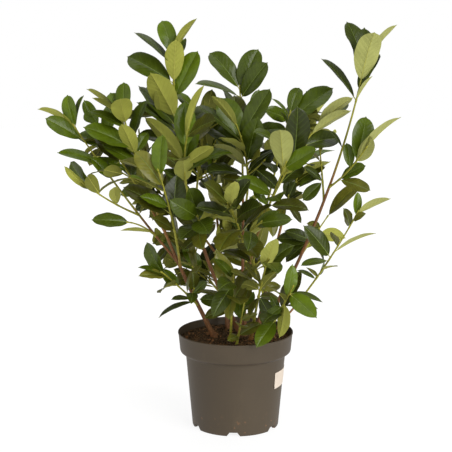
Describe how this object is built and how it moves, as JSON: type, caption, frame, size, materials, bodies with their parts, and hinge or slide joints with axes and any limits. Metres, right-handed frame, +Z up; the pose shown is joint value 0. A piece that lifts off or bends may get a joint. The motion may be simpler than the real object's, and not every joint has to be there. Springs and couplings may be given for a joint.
{
  "type": "potted cherry laurel",
  "caption": "Young evergreen shrub with upright leafy shoots on bare brown stems, rising from soil in a round tapered nursery pot with a deep rim band",
  "frame": {"origin": "centre of the pot's flat underside, on the pot's axis", "axes": "+Z up along the pot's axis, -Y to the front that the picture shows, +X to its right"},
  "size_m": [0.6946, 0.5281, 0.8113],
  "materials": {
    "pot": "matte",
    "soil": "matte",
    "sticker": "matte",
    "bark": "matte",
    "foliage": "satin"
  },
  "bodies": {
    "root": {"pot": "pot", "soil": "soil", "sticker": "sticker", "tall_stem": "bark", "tall_foliage": "foliage", "left_stem": "bark", "left_foliage": "foliage", "right_stem": "bark", "right_foliage": "foliage", "middle_stem": "bark", "middle_foliage": "foliage", "top_stem": "bark", "top_foliage": "foliage", "left_far_bough": "bark", "left_far_foliage": "foliage", "left_side_bough": "bark", "left_side_foliage": "foliage", "left_skirt_foliage": "foliage", "tall_side_bough": "bark", "tall_side_foliage": "foliage", "centre_bough": "bark", "centre_foliage": "foliage", "middle_pale_foliage": "foliage", "crest_bough": "bark", "crest_foliage": "foliage", "right_side_bough": "bark", "right_side_foliage": "foliage", "left_front_bough": "bark", "left_front_foliage": "foliage", "middle_front_bough": "bark", "middle_front_foliage": "foliage", "front_stem": "bark", "front_foliage": "foliage", "front_right_stem": "bark", "front_right_foliage": "foliage", "front_left_stem": "bark", "front_left_foliage": "foliage", "right_low_stem": "bark", "right_low_foliage": "foliage", "left_low_foliage": "foliage", "left_mid_bough": "bark", "left_mid_foliage": "foliage", "right_thin_bough": "bark", "right_thin_foliage": "foliage", "tall_back_bough": "bark", "tall_back_foliage": "foliage", "left_back_bough": "bark", "left_back_foliage": "foliage", "sprout_foliage": "foliage", "back_stem": "bark", "back_foliage": "foliage", "back_left_bough": "bark", "back_left_foliage": "foliage", "back_right_stem": "bark", "back_right_foliage": "foliage", "back_low_bough": "bark", "back_low_foliage": "foliage", "back_low_left_foliage": "foliage", "right_back_bough": "bark", "right_back_foliage": "foliage"}
  },
  "joints": []
}
